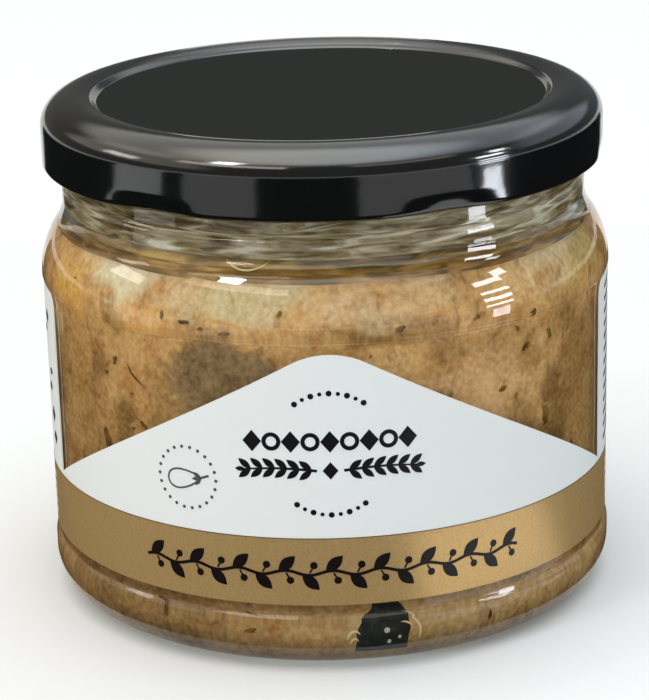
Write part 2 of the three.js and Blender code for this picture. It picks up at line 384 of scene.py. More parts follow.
def eggplantPaste(name, wet):
    # cooked, coarsely mashed eggplant: tan flesh in soft lumps, greyish and olive-brown strands, dark
    # specks; dull where the glass wets it, glossy with oil where it is open
    material = newMaterial(name)
    place = addNode(material, "ShaderNodeTexCoord").outputs["Object"]
    broad = addNode(material, "ShaderNodeTexNoise",
                    {"Scale": 1 / (13 * mm), "Detail": 3.0, "Roughness": 0.55, "Distortion": 0.3},
                    {"Vector": place})
    tone = addNode(material, "ShaderNodeValToRGB",
                   {"stops": [(0.3, "#b48c5c"), (0.45, "#cb9e69"), (0.58, "#d5a972"), (0.74, "#e0ba86")]},
                   {"Fac": broad.outputs["Fac"]})
    # the tint attribute lays the pieces' colours over the tone, among them painted shade towards the bottom
    # and painted light on the shoulder
    tint = addNode(material, "ShaderNodeAttribute", {"attribute_name": "tint"})
    toned = addNode(material, "ShaderNodeMix", {"data_type": "RGBA"},
                    {"Factor_Float": tint.outputs["Alpha"], "A_Color": tone.outputs["Color"],
                     "B_Color": tint.outputs["Color"]})
    lumps = addNode(material, "ShaderNodeTexNoise",
                    {"Scale": 1 / (4 * mm), "Detail": 7.0, "Roughness": 0.68, "Distortion": 0.4},
                    {"Vector": place})
    lumpTone = addNode(material, "ShaderNodeValToRGB",
                       {"stops": [(0.32, "#6c665e"), (0.46, "#b4b4b4"), (0.6, "#c4c3bf"), (0.74, "#dcd6c8")]},
                       {"Fac": lumps.outputs["Fac"]})
    flesh = addNode(material, "ShaderNodeMix",
                    {"data_type": "RGBA", "blend_type": "SOFT_LIGHT", "Factor_Float": 0.85},
                    {"A_Color": (toned, "Result_Color"), "B_Color": lumpTone.outputs["Color"]})
    stretch = addNode(material, "ShaderNodeMapping", {"Rotation": (0.6, 0.4, 0.0), "Scale": (1.0, 1.0, 0.45)},
                      {"Vector": place})
    strand = addNode(material, "ShaderNodeTexNoise",
                     {"Scale": 1 / (3.4 * mm), "Detail": 5.0, "Roughness": 0.65, "Distortion": 0.5},
                     {"Vector": stretch.outputs["Vector"]})
    strandMask = addNode(material, "ShaderNodeValToRGB", {"stops": [(0.57, "#000000"), (0.66, "#b4b4b4")]},
                         {"Fac": strand.outputs["Fac"]})
    withStrands = addNode(material, "ShaderNodeMix", {"data_type": "RGBA", "B_Color": hexColour("#7d5d30")},
                          {"Factor_Float": strandMask.outputs["Color"], "A_Color": (flesh, "Result_Color")})
    crumb = addNode(material, "ShaderNodeTexNoise", {"Scale": 1 / (0.8 * mm), "Detail": 4.0},
                    {"Vector": place})
    crumbTone = addNode(material, "ShaderNodeValToRGB", {"stops": [(0.34, "#8c8c8c"), (0.68, "#dedede")]},
                        {"Fac": crumb.outputs["Fac"]})
    grained = addNode(material, "ShaderNodeMix",
                      {"data_type": "RGBA", "blend_type": "SOFT_LIGHT", "Factor_Float": 0.65},
                      {"A_Color": (withStrands, "Result_Color"), "B_Color": crumbTone.outputs["Color"]})
    bump = addNode(material, "ShaderNodeBump", {"Strength": 0.9 if wet else 0.15, "Distance": 0.6 * mm},
                   {"Height": lumps.outputs["Fac"]})
    body = addNode(material, "ShaderNodeBsdfPrincipled",
                   {"Roughness": 0.28 if wet else 0.6, "IOR": 1.4 if wet else 1.1},
                   {"Base Color": (grained, "Result_Color"), "Normal": bump.outputs["Normal"]})
    return surface(material, body)


pasteAtGlass = eggplantPaste("eggplant paste against glass", False)
pasteOpen = eggplantPaste("oiled eggplant paste", True)
pasteMesh = turned(pasteProfile(), paste["steps"])
reshape(pasteMesh, pasteRelief)
for face in pasteMesh.faces:
    if face.calc_center_median().z > paste["fillLevel"] - 0.3 and face.normal.z > 0.75:
        face.material_index = 1
spread = finishPiece("eggplantSpread", pasteMesh, [pasteAtGlass, pasteOpen],
                     ["eggplant_spread"], 180)

# larger pieces behind the glass: angle, height, half width in degrees, half height, weight, colour
pieces = [
    (-58, 33, 13, 16, 0.35, "#a07c48"), (63, 33, 15, 16, 0.5, "#96733f"),
    (-21, 42.5, 10, 7.5, 1.0, "#947a5a"),
    (-45, 31, 2.4, 7, 0.6, "#7a5c32"), (51, 33, 3.4, 8, 0.7, "#7f5d2f"), (58, 38, 5, 7, 0.5, "#8a6535"),
    (10, 50.5, 14, 1.6, 0.7, "#94703f"), (37, 46, 5, 4, 0.35, "#a07e52"), (30, 39, 12, 6, 0.5, "#e6bd90"),
    # the pale cream patches at heights 54 to 57 are painted light: top light on the upward-facing shoulder,
    # and at -47 degrees a painted reflection of a bright window in the shoulder glass
    (-47, 57, 13, 4.5, 0.9, "#e6d9b8"), (-30, 54, 8, 3, 0.5, "#d9c298"), (-15, 54.5, 9, 3, 0.75, "#d6c5a0"),
    (4, 54, 8, 2.6, 0.6, "#dcc09c"), (20, 54.5, 7, 2.2, 0.45, "#d6b890"), (-64, 53, 9, 4, 0.8, "#dcaa5e"),
    (-38, 50.8, 6, 1.8, 0.7, "#dca766"), (56, 55.5, 10, 3, 0.6, "#d8bf92"), (68, 54, 8, 4, 0.6, "#b0974e"),
    (110, 34, 12, 9, 0.6, "#7d6038"), (160, 24, 14, 10, 0.5, "#86683c"), (-130, 40, 12, 8, 0.7, "#7d6038"),
    (-95, 20, 10, 9, 0.5, "#8a6c40"), (130, 54, 20, 3, 0.6, "#cdb588"), (-150, 54, 24, 3, 0.6, "#cdb588"),
    (-40, 6, 14, 3, 0.45, "#8a6c40"), (28, 6, 9, 2.5, 0.4, "#d8b684"), (-35, 38, 3, 5, 0.5, "#8a683a"),
    (40, 34, 3, 4, 0.5, "#8a683a"), (-52, 42, 3, 2.5, 0.5, "#85633a"), (24, 46, 4, 2, 0.5, "#94714a"),
]
# painted shade: below the given height the paste is painted darker towards the bottom of the jar
shade = {"below": 7, "colour": "#352813", "weight": 0.95}
shreds = {"count": 46, "seed": 5, "tones": ["#7d5f34", "#8f6c3c", "#756033", "#ecd0a0", "#a87c44"]}
dice = random.Random(shreds["seed"])
for i in range(shreds["count"]):
    pieces.append((dice.uniform(-180, 180), dice.uniform(6, 56), dice.uniform(1.2, 3.2), dice.uniform(0.9, 3),
                   dice.uniform(0.35, 0.75), dice.choice(shreds["tones"])))


def tintAt(vert):
    # the colours of the pieces that lie over a point, laid one over the other, with wavering edges, and the
    # painted shade towards the bottom laid over them
    angle, height = math.degrees(math.atan2(vert.co.x, -vert.co.y)), vert.co.z / mm
    sway = noise.noise(Vector((angle / 7, height / 4, 0.4))) * 0.8
    sway += noise.noise(Vector((angle / 2.4, height / 1.5, 3))) * 0.35
    colour, cover = Vector((0.0, 0.0, 0.0)), 0.0
    edge = 0.35 if height < jar["shoulderStart"] else 0.6
    layers = []
    for middle, level, wide, tall, weight, shown in pieces:
        away = math.hypot(fromNearest(angle, middle, 360) / wide, (height - level) / tall)
        layers.append((weight * min(1, max(0, (1.3 - away - sway) / edge)), shown))
    layers.append((shade["weight"] * min(1, max(0, 1 - height / shade["below"])), shade["colour"]))
    for weight, shown in layers:
        total = cover + weight * (1 - cover)
        if total > 0:
            colour = colour.lerp(Vector(hexColour(shown)[:3]), weight / total)
        cover = total
    return tuple(colour) + (cover,)


tints = spread.data.attributes.new("tint", "FLOAT_COLOR", "POINT")
for vert in spread.data.vertices:
    tints.data[vert.index].color = tintAt(vert)

# bits of browned skin, seed and shreds that lie at the glass
bits = {"count": 110, "small": 0.18, "large": 0.9, "lift": 0.16, "thickness": 0.08, "seed": 11}
placedBits = [
    # angle, height, half length, slenderness, heading, bend
    (-46.6, 43.5, 0.75, 0.55, 1.2, 0.1), (-49.5, 41.2, 0.4, 0.7, 0.9, 0.0),
    (-42.2, 39.0, 0.35, 0.7, 0.5, 0.0), (-41.3, 41.6, 1.7, 0.13, -0.7, 0.2),
    (-45.5, 36.4, 0.45, 0.8, 1.5, 0.0), (-39.6, 34.6, 0.7, 0.55, -0.8, 0.1),
    (-50.5, 31.0, 1.7, 0.4, 1.75, 0.15), (-40.4, 28.6, 0.8, 0.65, 1.3, 0.1),
    (-33.5, 51.6, 0.6, 0.5, 1.6, 0.0),
    (-28.5, 51.2, 0.8, 0.4, -0.1, 0.0), (-25.0, 50.6, 0.45, 0.7, 0.3, 0.0), (-20.0, 50.2, 0.7, 0.4, 0.1, 0.0),
    (36.3, 39.2, 0.75, 0.55, 0.1, 0.2), (39.8, 37.6, 0.45, 0.7, 1.2, 0.0), (52.0, 36.8, 1.2, 0.4, 1.4, 0.2),
    (48.5, 33.0, 1.6, 0.4, 1.6, 0.2), (51.0, 29.8, 1.3, 0.5, 0.4, 0.2), (42.5, 44.6, 0.8, 0.5, 0.7, 0.1),
    (30.0, 50.6, 0.6, 0.45, 0.2, 0.0), (44.0, 49.5, 0.7, 0.4, 0.4, 0.0), (14.0, 50.6, 0.7, 0.5, 0.1, 0.0),
    (5.0, 50.3, 0.6, 0.5, 0.0, 0.0), (-9.0, 53.2, 0.4, 0.8, 0.4, 0.0), (33.0, 5.0, 0.6, 0.5, 1.4, 0.1),
    (-17.0, 5.6, 0.7, 0.4, 0.2, 0.1), (-36.0, 6.2, 0.9, 0.4, 1.3, 0.2),
]


def brownBits():
    # specks of skin, seed and browned flesh: matt, dark brown to olive, no two alike
    material = newMaterial("browned eggplant bits")
    place = addNode(material, "ShaderNodeTexCoord").outputs["Object"]
    spot = addNode(material, "ShaderNodeTexNoise", {"Scale": 1 / (3 * mm), "Detail": 2.0}, {"Vector": place})
    tone = addNode(material, "ShaderNodeValToRGB",
                   {"stops": [(0.36, "#573f1d"), (0.48, "#765729"), (0.62, "#906e3c")]},
                   {"Fac": spot.outputs["Fac"]})
    body = addNode(material, "ShaderNodeBsdfPrincipled", {"Roughness": 0.6, "IOR": 1.1},
                   {"Base Color": tone.outputs["Color"]})
    return surface(material, body)


def layOnWall(verts, angle, lift):
    # flat x, y become a place at the inner wall: x across from angle, y is the height, z is inwards
    for vert in verts:
        across, height, inwards = vert.co
        turn = math.radians(angle) + across / jar["innerRadius"]
        radius = innerRadiusAt(height) + lift - inwards
        vert.co = (radius * math.sin(turn), -radius * math.cos(turn), height)


def addBit(bm, angle, height, size, slender, heading, bend):
    made = bmesh.ops.create_circle(bm, cap_ends=True, radius=1, segments=16)
    verts = made["verts"]
    for i, vert in enumerate(verts):
        rag = Vector((angle + math.cos(i / 16 * math.tau) * 1.3, height, math.sin(i / 16 * math.tau) * 1.3))
        ragged = 1 + 0.8 * noise.noise(rag) + 0.35 * noise.noise(rag * 2.9)
        along = vert.co.x * size * ragged
        across = vert.co.y * size * slender * ragged + bend * (along / size) ** 2 * size
        vert.co = (along, across, 0)
    bmesh.ops.rotate(bm, verts=verts, matrix=Matrix.Rotation(heading, 3, "Z"))
    faces = list({face for vert in verts for face in vert.link_faces})
    made = bmesh.ops.solidify(bm, geom=faces, thickness=bits["thickness"])
    verts += [item for item in made["geom"] if isinstance(item, bmesh.types.BMVert) and item not in verts]
    bmesh.ops.translate(bm, verts=verts, vec=(0, height, 0))
    layOnWall(verts, angle, bits["lift"])


bitMesh = bmesh.new()
dice = random.Random(bits["seed"])
for i in range(bits["count"]):
    size = bits["small"] + (bits["large"] - bits["small"]) * dice.random() ** 4
    addBit(bitMesh, dice.uniform(-180, 180), dice.uniform(4, 55), size, dice.uniform(0.35, 0.8),
           dice.uniform(0, math.pi), dice.uniform(0, 0.05))
for bit in placedBits:
    addBit(bitMesh, *bit)
bmesh.ops.recalc_face_normals(bitMesh, faces=bitMesh.faces)
finishPiece("brownBits", bitMesh, [brownBits()])

# what clings to the wall above the fill: oil in the cove, darkened with painted shade under the lid, and
# streaks of spread and oil up the bore, whose palest streaks are painted highlights of the threads and
# darkest streaks painted shade under the lid
film = {"low": 55.9, "cove": 59.5, "high": 71, "lift": 0.03, "thickness": 0.1, "steps": 240}


def neckSmearAndPaintedLight():
    # dark olive oil low down, with painted shade from the lid, then cream and brown streaks drawn out round
    # the neck: the palest are painted highlights where the threads catch the light, the darkest painted shade
    # under the lid
    material = newMaterial("olive oil and spread smear")
    place = addNode(material, "ShaderNodeTexCoord").outputs["Object"]
    drawn = addNode(material, "ShaderNodeMapping", {"Scale": (0.8, 0.8, 5.0)}, {"Vector": place})
    cloud = addNode(material, "ShaderNodeTexNoise", {"Scale": 1 / (5 * mm), "Detail": 5.0, "Distortion": 0.6},
                    {"Vector": drawn.outputs["Vector"]})
    streaks = addNode(material, "ShaderNodeValToRGB",
                      {"stops": [(0.32, "#544426"), (0.43, "#917d56"), (0.54, "#c2b492"), (0.64, "#efe8d4")]},
                      {"Fac": cloud.outputs["Fac"]})
    coveOilAndShade = addNode(material, "ShaderNodeValToRGB",
                   {"stops": [(0.36, "#5f4a18"), (0.5, "#8d642a"), (0.66, "#bd9450")]},
                   {"Fac": cloud.outputs["Fac"]})
    height = addNode(material, "ShaderNodeSeparateXYZ", links={"Vector": place})
    up = addNode(material, "ShaderNodeMapRange", {"From Min": 59.2 * mm, "From Max": 59.9 * mm},
                 {"Value": height.outputs["Z"]})
    tone = addNode(material, "ShaderNodeMix", {"data_type": "RGBA"},
                   {"Factor_Float": up.outputs[0], "A_Color": coveOilAndShade.outputs["Color"],
                    "B_Color": streaks.outputs["Color"]})
    body = addNode(material, "ShaderNodeBsdfPrincipled", {"Roughness": 0.5, "IOR": 1.2},
                   {"Base Color": (tone, "Result_Color")})
    return surface(material, body)


def filmWall(inwards):
    heights = [film["low"] + (film["cove"] - film["low"]) * i / 10 for i in range(11)]
    heights += [jar["boreStart"] + 0.05 + (film["high"] - jar["boreStart"]) * i / 24 for i in range(25)]
    return [(innerRadiusAt(height) + film["lift"] - inwards, height) for height in heights]


filmMesh = turned(filmWall(0), film["steps"])
bmesh.ops.solidify(filmMesh, geom=filmMesh.faces[:], thickness=film["thickness"])
finishPiece("neckFilmAndPaintedLight", filmMesh, [neckSmearAndPaintedLight()])

# the strip of eggplant skin at the glass
skin = {
    "angle": 9.6,
    "bottom": skinLow.z,
    "top": skinHigh.z,
    "halfWidths": [(0, 4.1), (0.3, 4.0), (0.5, 3.6), (0.65, 2.8), (0.8, 2.0), (1, 1.3)],
    "thickness": 0.9,
    "intoWall": 0.12,
}


def eggplantSkinFinish():
    # roasted skin, blackened and soft: near-black with a green cast, paler where it blistered
    material = newMaterial("roasted eggplant skin")
    place = addNode(material, "ShaderNodeTexCoord").outputs["Object"]
    blister = addNode(material, "ShaderNodeTexNoise",
                      {"Scale": 1 / (1.6 * mm), "Detail": 3.0, "Distortion": 1.0}, {"Vector": place})
    tone = addNode(material, "ShaderNodeValToRGB",
                   {"stops": [(0.4, "#0b0c09"), (0.56, "#181a13"), (0.74, "#3a3c2e")]},
                   {"Fac": blister.outputs["Fac"]})
    bump = addNode(material, "ShaderNodeBump", {"Strength": 0.6, "Distance": 0.4 * mm},
                   {"Height": blister.outputs["Fac"]})
    body = addNode(material, "ShaderNodeBsdfPrincipled", {"Roughness": 0.45, "IOR": 1.35},
                   {"Base Color": tone.outputs["Color"], "Normal": bump.outputs["Normal"]})
    return surface(material, body)


skinMesh = bmesh.new()
bmesh.ops.create_grid(skinMesh, x_segments=26, y_segments=36, size=1)


def skinHalf(up):
    marks = skin["halfWidths"]
    for (low, narrow), (high, wide) in zip(marks, marks[1:]):
        if up <= high:
            return narrow + (wide - narrow) * (up - low) / (high - low)
    return marks[-1][1]


for vert in skinMesh.verts:
    side, up = vert.co.x, (vert.co.y + 1) / 2
    ragged = 1 + 0.2 * noise.noise(Vector((side * 0.6, up * 5, 7.7)))
    across = side * skinHalf(up) * ragged + 0.5 * math.sin(math.pi * up)
    vert.co = (across, skin["bottom"] + up * (skin["top"] - skin["bottom"]), 0.06 * abs(side) ** 6)
bmesh.ops.solidify(skinMesh, geom=skinMesh.faces[:], thickness=skin["thickness"])
settle(skinMesh)
layOnWall(skinMesh.verts, skin["angle"], skin["intoWall"])
bmesh.ops.recalc_face_normals(skinMesh, faces=skinMesh.faces)
finishPiece("eggplantSkin", skinMesh, [eggplantSkinFinish()], ["eggplant_skin"])

# thin bright golden rims beside the strip and under the neck, which are painted glints where bubble edges
# catch the light, and a few air bubbles
rims = [
    # angle and height of a rim's start, of the point it bends towards and of its end, then its width
    ((2.4, 4.6), (3.6, 6.6), (5.0, 5.3), 0.3), ((3.0, 4.0), (3.9, 5.2), (4.7, 4.3), 0.22),
    ((13.6, 7.9), (18.4, 6.4), (17.0, 3.9), 0.26), ((13.2, 6.6), (14.6, 6.8), (15.6, 5.8), 0.2),
    ((-22.0, 59.5), (-17.0, 57.0), (-12.0, 59.4), 0.2),
]
# angle, height and radius of each air bubble
bubbles = [(10.4, 5.6, 0.42), (13.0, 4.5, 0.24), (10.9, 4.0, 0.28), (-16, 9.5, 0.22)]
# the rims that these settings place are painted glints
oil = {"lift": 0.22, "flatness": 0.3}  # how far rims and bubbles reach into the glass; how flat bubbles lie


def paintedRimGlint():
    # painted glints: pale golden lines where bubble edges catch the light, glossy and paler than what lies
    # round it
    material = newMaterial("golden oil")
    body = addNode(material, "ShaderNodeBsdfPrincipled",
                   {"Base Color": hexColour("#f2d6a0"), "Roughness": 0.3, "IOR": 1.3})
    return surface(material, body)


def airBubble():
    # air at the glass: greyish cream, soft shine
    material = newMaterial("air bubbles")
    body = addNode(material, "ShaderNodeBsdfPrincipled",
                   {"Base Color": hexColour("#c4bfa8"), "Roughness": 0.35, "IOR": 1.3})
    return surface(material, body)


def bendPast(start, control, end, t):
    # a point on the curve from start to end that bends towards control
    return (1 - t) ** 2 * Vector(start) + 2 * t * (1 - t) * Vector(control) + t * t * Vector(end)


rimMesh = bmesh.new()
for start, control, end, width in rims:
    flat = [(math.radians(angle - control[0]) * jar["innerRadius"], height)
            for angle, height in (start, control, end)]
    verts = addStrip(rimMesh, lambda t: bendPast(*flat, t),
                     lambda t: width * (0.3 + math.sin(math.pi * min(1, max(0, t)))), 24)
    layOnWall(verts, control[0], oil["lift"])
for angle, height, size in bubbles:
    verts = bmesh.ops.create_uvsphere(rimMesh, u_segments=16, v_segments=10, radius=size)["verts"]
    for vert in verts:
        vert.co.z *= oil["flatness"]
        for face in vert.link_faces:
            face.material_index = 1
    bmesh.ops.translate(rimMesh, verts=verts, vec=(0, height, 0))
    layOnWall(verts, angle, oil["lift"])
finishPiece("paintedGlintRims", rimMesh, [paintedRimGlint(), airBubble()])

# the paper label
label = {
    "radius": 42.9,
    "paper": 0.16,
    "bottom": labelLow.z,
    "bandTop": 20.8,
    "peak": 49.4,  # where the gable's slopes would meet
    "slope": 0.533,
    "peakRound": 11,
    "backEdge": 52.5,
    "backTop": labelHigh.z,
    "backCorner": 2.5,
    "seam": 0.6,
    "column": 1.4,
    "ink": 0.03,
    "inkLift": 0.01,  # the print stands just clear of the paper
}


def labelHalf():
    # the right half of the flat outline, from the peak to the seam and back along the foot
    angle = math.atan(label["slope"])
    turns = [angle * i / 10 for i in range(11)]
    drop = label["peakRound"] * (1 / math.cos(angle) - 1)
    size, top = label["peakRound"], label["peak"] - drop
    points = [(size * math.sin(a), top - size * (1 - math.cos(a))) for a in turns]
    edge, corner = label["backEdge"], label["backCorner"]
    points += [(edge, label["peak"] - label["slope"] * edge)]
    points += [(x, y) for x, y in arc(edge + corner, label["backTop"] - corner, corner, 180, 90, 8)]
    half = math.pi * label["radius"] - label["seam"]
    return points + [(half, label["backTop"]), (half, label["bottom"])]


def wrap(bm, radius):
    # flat x runs round the jar, y becomes the height, and z stands off the surface
    for vert in bm.verts:
        turn = vert.co.x / radius
        out = radius + vert.co.z
        vert.co = (out * math.sin(turn), -out * math.cos(turn), vert.co.y)


def coatedPaper(name, colour, roughness, tooth):
    # coated label paper: smooth, dull white, with a faint fibre mottle
    material = newMaterial(name)
    place = addNode(material, "ShaderNodeTexCoord").outputs["Object"]
    fibre = addNode(material, "ShaderNodeTexNoise", {"Scale": 1 / (0.5 * mm), "Detail": 3.0},
                    {"Vector": place})
    bump = addNode(material, "ShaderNodeBump", {"Strength": tooth, "Distance": 0.05 * mm},
                   {"Height": fibre.outputs["Fac"]})
    body = addNode(material, "ShaderNodeBsdfPrincipled",
                   {"Base Color": hexColour(colour), "Roughness": roughness, "IOR": 1.45},
                   {"Normal": bump.outputs["Normal"]})
    return surface(material, body)


def goldInk():
    # pale bronze ink on coated paper: satin, a little metallic, so it brightens where a lamp mirrors
    material = newMaterial("pale bronze printing ink")
    place = addNode(material, "ShaderNodeTexCoord").outputs["Object"]
    flake = addNode(material, "ShaderNodeTexNoise", {"Scale": 1 / (0.4 * mm), "Detail": 2.0},
                    {"Vector": place})
    tone = addNode(material, "ShaderNodeValToRGB", {"stops": [(0.35, "#d3ac70"), (0.65, "#ddb77b")]},
                   {"Fac": flake.outputs["Fac"]})
    body = addNode(material, "ShaderNodeBsdfPrincipled", {"Roughness": 0.36, "Metallic": 0.55},
                   {"Base Color": tone.outputs["Color"]})
    return surface(material, body)


labelMesh = bmesh.new()
rightHalf = labelHalf()
outline = rightHalf + [(-x, y) for x, y in rightHalf[::-1] if x > 0]
labelMesh.faces.new([labelMesh.verts.new((x, y, 0)) for x, y in outline])
columns = int(math.pi * label["radius"] / label["column"])
cuts = [((i * label["column"], 0, 0), (1, 0, 0)) for i in range(-columns, columns + 1)]
for place, facing in cuts + [((0, label["bandTop"], 0), (0, 1, 0))]:
    everything = labelMesh.verts[:] + labelMesh.edges[:] + labelMesh.faces[:]
    bmesh.ops.bisect_plane(labelMesh, geom=everything, plane_co=place, plane_no=facing)
bmesh.ops.recalc_face_normals(labelMesh, faces=labelMesh.faces)
if labelMesh.faces[0].normal.z > 0:
    bmesh.ops.reverse_faces(labelMesh, faces=labelMesh.faces)
bmesh.ops.solidify(labelMesh, geom=labelMesh.faces[:], thickness=label["paper"])
settle(labelMesh)
for face in labelMesh.faces:
    centre = face.calc_center_median()
    if centre.z > label["paper"] * 0.9 and centre.y < label["bandTop"]:
        face.material_index = 1
wrap(labelMesh, label["radius"])
bmesh.ops.recalc_face_normals(labelMesh, faces=labelMesh.faces)
whitePaper = coatedPaper("coated label paper", "#e6e8e6", 0.5, 0.15)
finishPiece("labelPaper", labelMesh, [whitePaper, goldInk()], ["label"])

# the print on the label
finePoint = 0.02  # width that a tip keeps


def addDisc(bm, x, y, radius, steps=16):
    bmesh.ops.create_circle(bm, cap_ends=True, radius=radius, segments=steps,
                            matrix=Matrix.Translation((x, y, 0)))


def addRing(bm, x, y, radius, line, steps=32):
    addStrip(bm, lambda t: (x + radius * math.cos(math.tau * t), y + radius * math.sin(math.tau * t)),
             lambda t: line, steps)


def addLeaf(bm, x, y, heading, length, width):
    turn = math.radians(heading)
    addStrip(bm, lambda t: (x + length * t * math.cos(turn), y + length * t * math.sin(turn)),
             lambda t: max(finePoint, width * math.sin(math.pi * min(1, max(0, t))) ** 0.9), 10)


def addLozenge(bm, x, y, wide, tall):
    addStrip(bm, lambda t: (x + wide * (t - 0.5), y),
             lambda t: max(finePoint, tall * (1 - abs(2 * t - 1))), 8)


def finishPrint(name, bm, material):
    bmesh.ops.remove_doubles(bm, verts=bm.verts, dist=0.004)
    for face in bm.faces:
        if face.normal.z > 0:
            face.normal_flip()
    bmesh.ops.solidify(bm, geom=bm.faces[:], thickness=label["ink"])
    settle(bm, label["inkLift"])
    wrap(bm, label["radius"] + label["paper"])
    bmesh.ops.recalc_face_normals(bm, faces=bm.faces)
    return finishPiece(name, bm, [material])


blackInk = coatedPaper("black printing ink", "#0d0d10", 0.45, 0.1)
greyInk = coatedPaper("fine grey printing line", "#4c4e54", 0.5, 0.1)
wineInk = coatedPaper("dark wine printing ink", "#16070a", 0.42, 0.1)

motifs = {
    "rowHigh": 35.3,
    "rowLow": 31.0,
    "rowHalf": 12.4,
    "rowTall": 2.9,
    "rowCount": 9,
    "rowInset": 1.4,
    "lozengeWide": 2.7,
    "ringRound": 1.05,
    "ringLine": 0.6,
    "sprigStart": 1.9,
    "sprigLength": 10.4,
    "sprigLeaves": 6,
    "leafTilt": 38,  # degrees
    "arcHalf": 36,  # degrees
    "arcRound": 8.2,
    "arcHigh": 42.4,
    "arcLow": 24.4,
    "dot": 0.42,
    "emblemAcross": -21.2,
    "emblemHeight": 28.7,
    "emblemRound": 4.6,
    "garlandHeight": 15.6,
    "garlandHalf": 28.8,
}

# two bold rows: lozenges with rings between them, and a sprig of leaves to each side of a lozenge
rows = bmesh.new()
for i in range(motifs["rowCount"]):
    reach = 2 * motifs["rowHalf"] - 2 * motifs["rowInset"]
    x = -motifs["rowHalf"] + motifs["rowInset"] + i * reach / (motifs["rowCount"] - 1)
    if i % 2 == 0:
        addLozenge(rows, x, motifs["rowHigh"], motifs["lozengeWide"], motifs["rowTall"] + 0.3)
    else:
        addRing(rows, x, motifs["rowHigh"], motifs["ringRound"], motifs["ringLine"])
addLozenge(rows, 0, motifs["rowLow"], 2.2, 2.6)


def sprigStem(side, t):
    across = side * (motifs["sprigStart"] + motifs["sprigLength"] * t)
    return across, motifs["rowLow"] + 0.35 * math.sin(math.pi * t)


for side in (-1, 1):
    addStrip(rows, lambda t: sprigStem(side, t), lambda t: 0.42 - 0.2 * t, 14)
    for i in range(motifs["sprigLeaves"]):
        x, y = sprigStem(side, (i + 0.4) / motifs["sprigLeaves"])
        for up in (-1, 1):
            heading = motifs["leafTilt"] * up if side > 0 else 180 - motifs["leafTilt"] * up
            addLeaf(rows, x, y, heading, 2.3, 0.95)
    x, y = sprigStem(side, 1)
    addLeaf(rows, x - side * 0.2, y, 0 if side > 0 else 180, 1.5, 0.7)
finishPrint("labelRows", rows, blackInk)

# two small arcs of dots, the upper one a brow and the lower one a bowl
dots = bmesh.new()
for i in range(9):
    turn = math.radians(motifs["arcHalf"] * (i / 4 - 1))
    size = motifs["dot"] * (1.0 if i % 2 == 0 else 0.7)
    x, sag = motifs["arcRound"] * math.sin(turn), motifs["arcRound"] * (1 - math.cos(turn))
    addDisc(dots, x, motifs["arcHigh"] - sag, size)
    addDisc(dots, x, motifs["arcLow"] + sag, size)
finishPrint("labelDots", dots, blackInk)

# an outlined eggplant in a ring of fine dots
emblem = bmesh.new()
across, height = motifs["emblemAcross"], motifs["emblemHeight"]
for i in range(22):
    turn = math.tau * i / 22
    spot = (across + motifs["emblemRound"] * math.cos(turn), height + motifs["emblemRound"] * math.sin(turn))
    addDisc(emblem, spot[0], spot[1], 0.25, 10)


def eggplantOutline(t):
    turn = math.tau * t
    wide = 1.35 - 0.55 * math.cos(turn)
    lean = 0.14 * (1 + math.cos(turn)) ** 2
    return across - 0.5 + 2.6 * math.cos(turn), height - 0.4 + wide * math.sin(turn) + lean


addStrip(emblem, eggplantOutline, lambda t: 0.26, 48)
for heading in (190, 150, 230):
    addLeaf(emblem, across + 2.3, height + 0.15, heading, 1.5, 0.6)
addStrip(emblem, lambda t: (across + 2.2 + 1.3 * t, height + 0.15 + 0.5 * t), lambda t: 0.34, 4)
finishPrint("labelEmblem", emblem, greyInk)

# a garland of leaves and buds along the band
garland = bmesh.new()
leaves = 17


def vine(t):
    x = motifs["garlandHalf"] * (2 * t - 1)
    return x, motifs["garlandHeight"] + 0.35 * math.sin(math.pi * leaves * t)


addStrip(garland, vine, lambda t: 0.46, 150)
for i in range(leaves):
    x, y = vine((i + 0.2) / leaves)
    up = 1 if i % 2 == 0 else -1
    addLeaf(garland, x, y, 44 * up, 3.4, 1.7)
    addStrip(garland, lambda t: (x + 1.1 + 0.5 * t, y - up * (0.2 + 0.9 * t)), lambda t: 0.26, 2)
    addDisc(garland, x + 1.7, y - 1.35 * up, 0.55, 14)
finishPrint("labelGarland", garland, wineInk)

# small marks at the sides: slanted bars on the right, loose lozenges on the left, pale bars on the band, and
# plain rules with a border on the back
marks = {
    "bars": 13,
    "barLow": 23.2,
    "barPitch": 2.0,
    "lozenges": [(-58, 44.5, 2.2), (-60, 42.2, 1.4), (-57, 36.0, 1.2), (-58, 33.4, 1.6), (-57, 29.2, 2.6),
                 (-56.5, 25.6, 2.2)],  # across, height, tall
    "paleBars": 5,
    "paleTop": 18.6,
    "palePitch": 1.5,
    "rules": 9,
    "ruleTop": 43.5,
    "rulePitch": 2.4,
    "border": [(74, 21.6), (130, 21.6), (130, 46.4), (74, 46.4), (74, 21.6)],
}
sideMarks, paleMarks, backRules = bmesh.new(), bmesh.new(), bmesh.new()
for i in range(marks["bars"]):
    height = marks["barLow"] + marks["barPitch"] * i
    addStrip(sideMarks, lambda t: (56.5 + 6.5 * t, height + 1.1 * t), lambda t: 0.62, 8)
for x, height, tall in marks["lozenges"]:
    addLozenge(sideMarks, x, height, 2.2, tall)
